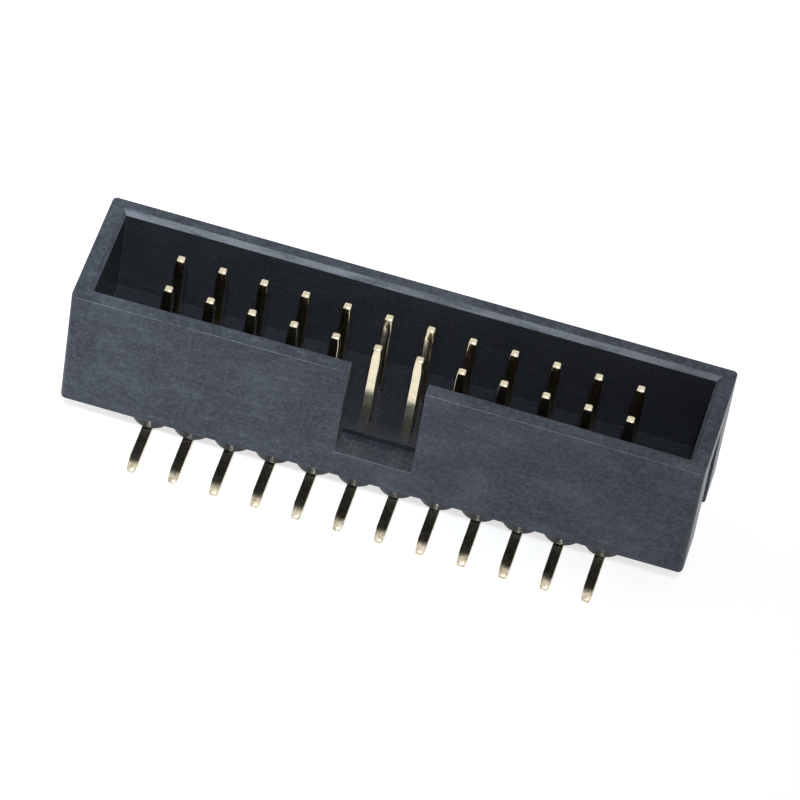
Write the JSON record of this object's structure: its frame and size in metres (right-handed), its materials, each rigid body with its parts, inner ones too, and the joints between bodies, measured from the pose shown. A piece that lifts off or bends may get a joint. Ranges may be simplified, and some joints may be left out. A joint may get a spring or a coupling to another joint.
{
  "type": "idc box header",
  "caption": "Keyed, open-topped surface-mount box header for ribbon cable sockets, with two rows of square contacts bent into flat feet.",
  "frame": {"origin": "centre of the footprint, in the plane of the soldered feet", "axes": "+X along the contact rows, -Y towards the keyed side wall, +Z out of the mating cavity, the way a socket leaves"},
  "size_m": [0.0382, 0.0116, 0.012],
  "materials": {
    "moulding": "satin blue-black glass-filled thermoplastic",
    "plated_wire": "gold-flashed square wire, bright"
  },
  "bodies": {
    "root": {"housing": "moulding", "contact_01": "plated_wire", "contact_02": "plated_wire", "contact_03": "plated_wire", "contact_04": "plated_wire", "contact_05": "plated_wire", "contact_06": "plated_wire", "contact_07": "plated_wire", "contact_08": "plated_wire", "contact_09": "plated_wire", "contact_10": "plated_wire", "contact_11": "plated_wire", "contact_12": "plated_wire", "contact_13": "plated_wire", "contact_14": "plated_wire", "contact_15": "plated_wire", "contact_16": "plated_wire", "contact_17": "plated_wire", "contact_18": "plated_wire", "contact_19": "plated_wire", "contact_20": "plated_wire", "contact_21": "plated_wire", "contact_22": "plated_wire", "contact_23": "plated_wire", "contact_24": "plated_wire"}
  },
  "joints": []
}
